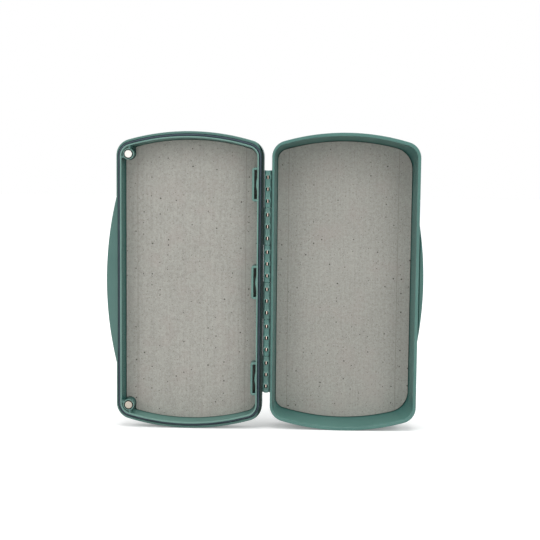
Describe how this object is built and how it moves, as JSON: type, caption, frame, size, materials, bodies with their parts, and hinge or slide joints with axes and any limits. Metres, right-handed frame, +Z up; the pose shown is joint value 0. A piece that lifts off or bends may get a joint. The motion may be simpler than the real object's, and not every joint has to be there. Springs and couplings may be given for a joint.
{
  "type": "fly box",
  "caption": "Slim fly box with a shallow base, a deeper hinged lid, a rim seal, corner magnets, leaf clips and a fly mat glued into each half.",
  "frame": {"origin": "bottom centre of the opened box, on the surface it stands on", "axes": "+Z up along the hinge pin, +X from the base towards the lid across the opened box, +Y from the open side towards the back"},
  "size_m": [0.1952, 0.022, 0.184],
  "materials": {
    "base_plastic": "moulded dark teal green plastic with a fine satin surface",
    "lid_plastic": "moulded dark teal green plastic with a fine satin surface",
    "seal_rubber": "smooth dark navy rubber cord",
    "pin_steel": "drawn stainless wire",
    "mat": "warm grey closed-cell foam with dark specks and fine lengthwise streaks",
    "adhesive_film": "milky adhesive film",
    "magnet_plating": "bright nickel plating"
  },
  "bodies": {
    "base": {"base_tray": "base_plastic", "rim_seal": "seal_rubber", "hinge_pin": "pin_steel", "base_mat": "mat", "base_film": "adhesive_film", "upper_magnet": "magnet_plating", "lower_magnet": "magnet_plating"},
    "lid": {"lid_tray": "lid_plastic", "lid_mat": "mat", "lid_film": "adhesive_film"}
  },
  "joints": [
    {"name": "lid_hinge", "type": "hinge", "parent": "base", "child": "lid", "pos_m": [0.00145, -0.00905, 0.092], "axis": [0, 0, -1], "range_deg": [0, 180]}
  ]
}
